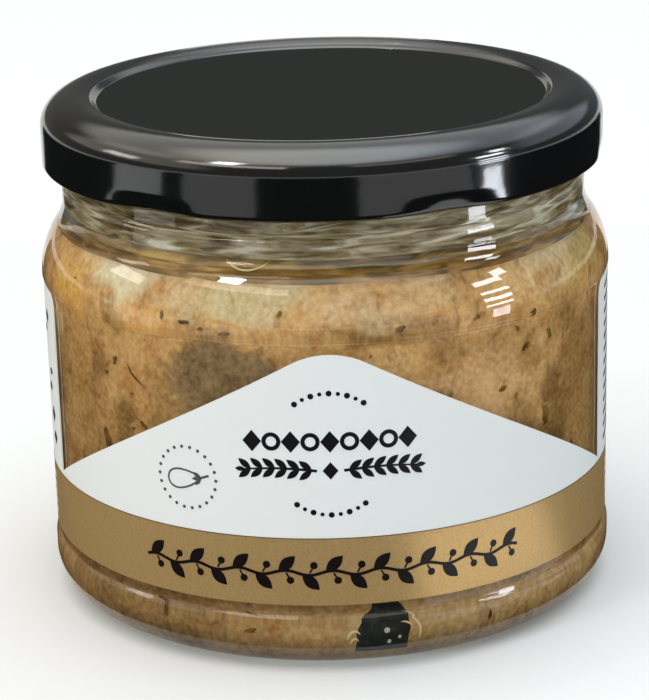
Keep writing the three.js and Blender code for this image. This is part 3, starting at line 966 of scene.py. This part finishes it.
for side in (-1, 1):
    for i in range(marks["paleBars"]):
        height = marks["paleTop"] - marks["palePitch"] * i
        addStrip(paleMarks, lambda t: (side * (58.5 + 5 * t), height), lambda t: 0.5, 6)
    for i in range(marks["rules"]):
        height = marks["ruleTop"] - marks["rulePitch"] * i
        addStrip(backRules, lambda t: (side * (78 + 48 * t), height), lambda t: 0.4, 44)
    for (startX, startY), (endX, endY) in zip(marks["border"], marks["border"][1:]):
        addStrip(backRules, lambda t: (side * (startX + (endX - startX) * t), startY + (endY - startY) * t),
                 lambda t: 0.3, 44)
finishPrint("labelSideMarks", sideMarks, blackInk)
finishPrint("labelPaleMarks", paleMarks, coatedPaper("pale printing ink", "#d8cfc0", 0.5, 0.1))
finishPrint("labelBackRules", backRules, greyInk)

# where the white field meets the bronze band, a fine dark line: painted shade under the white field's edge
bandEdgeShadeLine = bmesh.new()
length = math.pi * label["radius"] - label["seam"]
addStrip(bandEdgeShadeLine, lambda t: (length * (2 * t - 1), label["bandTop"]), lambda t: 0.14, 190)
finishPrint("labelBandLine", bandEdgeShadeLine, coatedPaper("bronze-brown line ink", "#6e5733", 0.5, 0.1))

# the lid
cap = {
    "radius": lidHigh.x,
    "top": lidHigh.z,
    "bottom": lidLow.z,
    "crest": 37,
    "shoulder": 4.2,
    "ring": 34.7,
    "ringDrop": 0.4,
    "panelRadius": 33.6,
    "panelDrop": 1.15,
    "sheet": 0.5,
    "curl": 0.8,
    "tuckDepth": 1.0,
    "tuckHalf": 13.5,
    "tuckHeight": 3,
    "tuckRows": (2, 1, 0, -0.4, -0.8, -1.2, -1.6, -2),  # from the tucks' upper end
    "under": 75.2,
    "steps": 240,
}


def lidProfile():
    top, skirtTop = cap["top"], cap["top"] - cap["shoulder"]
    inside = cap["radius"] - cap["sheet"]
    points = [(0, top - cap["panelDrop"]), (cap["panelRadius"] * 0.5, top - cap["panelDrop"])]
    points += [(cap["panelRadius"] - 0.6, top - cap["panelDrop"])]
    panelEdge = (cap["panelRadius"], top - cap["panelDrop"] + 0.03)
    points += ease(panelEdge, (cap["ring"], top - cap["ringDrop"]), 6)
    points += arc(cap["crest"], skirtTop, cap["radius"] - cap["crest"], 96, 0, 26, cap["shoulder"])
    points += [(cap["radius"], cap["bottom"] + cap["tuckHeight"] + step) for step in cap["tuckRows"]]
    points += arc(cap["radius"] - cap["curl"], cap["bottom"] + cap["curl"], cap["curl"], 0, -250, 16)
    points += [(inside, cap["bottom"] + 2 * cap["curl"] + cap["sheet"])]
    points += arc(cap["crest"], skirtTop, inside - cap["crest"], 0, 90, 8, cap["under"] - skirtTop)
    return points + [(0, cap["under"])]


def tucks(angle, radius, height):
    tuckTop = cap["bottom"] + cap["tuckHeight"]
    if height > tuckTop:
        return radius, height
    depth = cap["tuckDepth"] * ((tuckTop - height) / cap["tuckHeight"]) ** 1.4
    offset = fromNearest(angle, thread["lug"], 360 / thread["count"])
    return radius - depth * hump(offset, cap["tuckHalf"]), height


def blackLacquer(name, colour, dustTone, roughness, gloss, grain):
    # stoved black lacquer on tinplate: smooth and glossy, with a trace of orange peel and fine dust
    material = newMaterial(name)
    place = addNode(material, "ShaderNodeTexCoord").outputs["Object"]
    peel = addNode(material, "ShaderNodeTexNoise", {"Scale": 1 / (1.3 * mm), "Detail": 2.0},
                   {"Vector": place})
    bump = addNode(material, "ShaderNodeBump", {"Strength": grain, "Distance": 0.05 * mm},
                   {"Height": peel.outputs["Fac"]})
    dust = addNode(material, "ShaderNodeTexVoronoi", {"Scale": 1 / (1.9 * mm)}, {"Vector": place})
    speck = addNode(material, "ShaderNodeValToRGB",
                    {"stops": [(0.0, dustTone), (0.05, colour), (0.08, colour)]},
                    {"Fac": dust.outputs["Distance"]})
    body = addNode(material, "ShaderNodeBsdfPrincipled",
                   {"Roughness": roughness, "Specular IOR Level": gloss},
                   {"Base Color": speck.outputs["Color"], "Normal": bump.outputs["Normal"]})
    return surface(material, body)


glossy = blackLacquer("glossy black lacquer", "#0c0d0d", "#222222", 0.11, 0.9, 0.2)
dull = blackLacquer("dull black lacquer", "#252625", "#3b3c3a", 0.6, 0.0, 0.5)
lidMesh = turned(lidProfile(), cap["steps"])
reshape(lidMesh, tucks)
for face in lidMesh.faces:
    centre = face.calc_center_median()
    if math.hypot(centre.x, centre.y) < cap["panelRadius"] and face.normal.z > 0.5:
        face.material_index = 1
finishPiece("lidCap", lidMesh, [glossy, dull], ["lid"])

# the studio: floor, lamps, flags, room and camera
studio = {
    "lens": 129.5,
    "cameraAt": (0.0, -371.9, 155.26),
    "pitch": 17.95,  # degrees below level
    "roll": -1.51,
    "yaw": 0.07,
    "floor": "#d2d2d3",
    "floorHalf": 6,  # m
    "lampColour": "#e8f1ff",
    "windowColour": "#f4f8ff",
    "roomGlow": 0.16,
}
lamps = {
    # name: (angle, elevation, distance in m, width, height, strength)
    "smallLamp": (-48, 48.5, 1.2, 0.18, 0.17, 26),
    "frontFill": (12, 32, 1.4, 1.3, 0.8, 0.97),
}
# flags and cards that show in glossy surfaces alone; the flags lie on the floor, from angle to angle
flags = {"spans": [(-150, -86), (-63, -54), (-25, 13), (57, 150)], "inner": 0.0445, "near": 0.21, "far": 0.9,
         "colour": "#161617"}
greyFlags = {"spans": [(-54, -25), (13, 57)], "colour": "#9e9e9c"}
gap = {"from": 24, "to": 72, "inner": 0.058, "outer": 0.108}  # bare floor that the bronze band mirrors
# slats of a window close by on the right: height of the middle, height and width of each, in metres
slats = {"distance": 0.15, "angle": 61, "width": 0.03, "strength": 17,
         "bars": [(0.108, 0.012), (0.082, 0.006), (0.067, 0.007), (0.0545, 0.004)]}
lowSlat = {"distance": 0.15, "angle": 61.5, "width": 0.02, "strength": 11, "bars": [(0.037, 0.018)]}
backCard = {"behind": 0.12, "left": -0.027, "right": 0.021, "low": 0.045, "high": 0.112, "strength": 0.8}


def paleFloor():
    # pale matte paper sweep
    material = newMaterial("pale studio paper")
    body = addNode(material, "ShaderNodeBsdfPrincipled",
                   {"Base Color": hexColour(studio["floor"]), "Roughness": 0.85})
    return surface(material, body)


floorMesh = bmesh.new()
bmesh.ops.create_grid(floorMesh, x_segments=1, y_segments=1, size=studio["floorHalf"])
floorData = bpy.data.meshes.new("studioFloor")
floorMesh.to_mesh(floorData)
floorMesh.free()
floorData.materials.append(paleFloor())
floor = bpy.data.objects.new("studioFloor", floorData)
scene.collection.objects.link(floor)


def addLamp(name, place, facing, width, height, strength):
    lamp = bpy.data.lights.new(name, "AREA")
    lamp.shape = "RECTANGLE"
    lamp.size, lamp.size_y = width, height
    lamp.energy = strength * math.pi * width * height
    holder = bpy.data.objects.new(name, lamp)
    holder.location = place
    holder.rotation_euler = (place - facing).to_track_quat("Z", "Y").to_euler()
    lamp.color = hexColour(studio["lampColour"])[:3]
    holder.visible_glossy = name != "frontFill"
    scene.collection.objects.link(holder)


target = Vector((0, 0, 38 * mm))
for name, (angle, elevation, distance, width, height, strength) in lamps.items():
    turn, tilt = math.radians(angle), math.radians(elevation)
    offset = Vector((math.sin(turn) * math.cos(tilt), -math.cos(turn) * math.cos(tilt), math.sin(tilt)))
    addLamp(name, target + offset * distance, target, width, height, strength)


def stageCard(name, bm, shader, material):
    # studio gear that only glossy reflections see
    data = bpy.data.meshes.new(name)
    bm.to_mesh(data)
    bm.free()
    data.materials.append(surface(material, shader))
    card = bpy.data.objects.new(name, data)
    card.visible_camera = card.visible_diffuse = card.visible_transmission = card.visible_shadow = False
    scene.collection.objects.link(card)


def glowCard(name, bm, finish, colour, strength):
    # a card that only gives light
    pane = newMaterial(finish)
    light = addNode(pane, "ShaderNodeEmission", {"Color": hexColour(colour), "Strength": strength})
    stageCard(name, bm, light, pane)


def addSpan(bm, start, end, near, far):
    # a piece of the floor between two angles and two distances
    for vert in bmesh.ops.create_grid(bm, x_segments=48, y_segments=1, size=1)["verts"]:
        turn = math.radians(start + (end - start) * (vert.co.x + 1) / 2)
        reach = near if vert.co.y < 0 else far
        vert.co = (reach * math.sin(turn), -reach * math.cos(turn), 0.0005)


for name, source in (("studioFlags", flags), ("studioGreyFlags", greyFlags)):
    flagMesh = bmesh.new()
    for start, end in source["spans"]:
        addSpan(flagMesh, start, end, flags["near"], flags["far"])
    if source is flags:
        addSpan(flagMesh, gap["to"], gap["from"] + 360, flags["inner"], flags["near"])
        addSpan(flagMesh, gap["from"], gap["to"], flags["inner"], gap["inner"])
        addSpan(flagMesh, gap["from"], gap["to"], gap["outer"], flags["near"])
    cloth = newMaterial(name + " cloth")
    shader = addNode(cloth, "ShaderNodeBsdfDiffuse", {"Color": hexColour(source["colour"])})
    stageCard(name, flagMesh, shader, cloth)

for name, source in (("studioWindow", slats), ("studioLowSlat", lowSlat)):
    slatMesh = bmesh.new()
    for middle, tall in source["bars"]:
        for vert in bmesh.ops.create_grid(slatMesh, x_segments=1, y_segments=1, size=0.5)["verts"]:
            vert.co = (vert.co.x * source["width"], -source["distance"], middle + vert.co.y * tall)
    bmesh.ops.rotate(slatMesh, verts=slatMesh.verts,
                     matrix=Matrix.Rotation(math.radians(source["angle"]), 3, "Z"))
    glowCard(name, slatMesh, name + " light", studio["windowColour"], source["strength"])

# bands of ceiling light that draw streaks on shoulder, heel and lid: angles from and to, elevations from and
# to, strength, colour
bands = {"leftBand": (-99, -81, 25, 33, 6, "#fff2ea"), "creamBand": (-66, -16, 39, 46, 4.0, "#fff0da"),
         "rightBand": (73, 80, 29, 35, 15, "#f8fbff"), "faintBand": (12, 60, 41, 46, 1.4, "#fff4e6")}
bandDistance = 0.7  # m
for name, (start, end, low, high, strength, colour) in bands.items():
    bandMesh = bmesh.new()
    for vert in bmesh.ops.create_grid(bandMesh, x_segments=20, y_segments=2, size=1)["verts"]:
        turn = math.radians(start + (end - start) * (vert.co.x + 1) / 2)
        tilt = math.radians(low + (high - low) * (vert.co.y + 1) / 2)
        flat = bandDistance * math.cos(tilt)
        vert.co = (flat * math.sin(turn), -flat * math.cos(turn), bandDistance * math.sin(tilt))
    glowCard(name, bandMesh, name + " light", colour, strength)

# a white board close behind the jar
cardMesh = bmesh.new()
for vert in bmesh.ops.create_grid(cardMesh, x_segments=1, y_segments=1, size=0.5)["verts"]:
    x, z = vert.co.x + 0.5, vert.co.y + 0.5
    vert.co = (backCard["left"] + x * (backCard["right"] - backCard["left"]), backCard["behind"],
               backCard["low"] + z * (backCard["high"] - backCard["low"]))
glowCard("studioCard", cardMesh, "white board", "#fdfdf8", backCard["strength"])

# the room: a bright ceiling, softer light in front, dim near the level, pale low down behind
world = bpy.data.worlds.new("studioRoom")
world.use_nodes = True
world.node_tree.nodes.clear()
heading = addNode(world, "ShaderNodeTexCoord").outputs["Generated"]


def glowTowards(direction, start, end, strength, centre=heading):
    # a soft-edged patch of light: full strength where the heading is within end of the direction
    along = addNode(world, "ShaderNodeVectorMath",
                    {"operation": "DOT_PRODUCT", 1: Vector(direction).normalized()}, {0: centre})
    return addNode(world, "ShaderNodeMapRange",
                   {"interpolation_type": "SMOOTHSTEP", "From Min": start, "From Max": end,
                    "To Max": strength},
                   {"Value": along.outputs["Value"]}).outputs[0]


def combine(operation, first, second):
    return addNode(world, "ShaderNodeMath", {"operation": operation}, {0: first, 1: second}).outputs[0]


ceiling = glowTowards((0, 0.2, 0.98), 0.57, 0.72, 1.1)
zenith = glowTowards((0, -0.12, 1), 0.74, 0.96, 2.6)
leftGlow = combine("MULTIPLY", glowTowards((-1, 0, 0.2), 0.7, 0.85, 0.75),
                   glowTowards((0, 0, 1), 0.24, 0.3, 1))
rightGlow = combine("MULTIPLY", glowTowards((0.85, 0.5, 0.2), 0.8, 0.9, 0.7),
                    glowTowards((0, 0, 1), 0.2, 0.28, 1))
sides = combine("ADD", leftGlow, rightGlow)
base = addNode(world, "ShaderNodeValue")
base.outputs[0].default_value = studio["roomGlow"]
light = combine("ADD", combine("ADD", ceiling, zenith), combine("ADD", sides, base.outputs[0]))
tint = glowTowards((1, 0, 0), -0.7, 0.7, 1)
tintRamp = addNode(world, "ShaderNodeValToRGB", {"stops": [(0.0, "#fff9ea"), (1.0, "#e8f3fc")]},
                   {"Fac": tint})
glow = addNode(world, "ShaderNodeBackground", links={"Color": tintRamp.outputs["Color"], "Strength": light})
addNode(world, "ShaderNodeOutputWorld", links={"Surface": glow.outputs[0]})
scene.world = world

camera = bpy.data.objects.new("camera", bpy.data.cameras.new("camera"))
camera.data.lens = studio["lens"]
camera.data.sensor_fit = "VERTICAL"
camera.data.sensor_height = 36
turnCamera = (Matrix.Rotation(math.radians(studio["yaw"]), 4, "Z")
              @ Matrix.Rotation(math.radians(90 - studio["pitch"]), 4, "X")
              @ Matrix.Rotation(math.radians(studio["roll"]), 4, "Z"))
camera.matrix_world = Matrix.Translation(Vector(studio["cameraAt"]) * mm) @ turnCamera
scene.collection.objects.link(camera)
scene.camera = camera
print("studio ready")
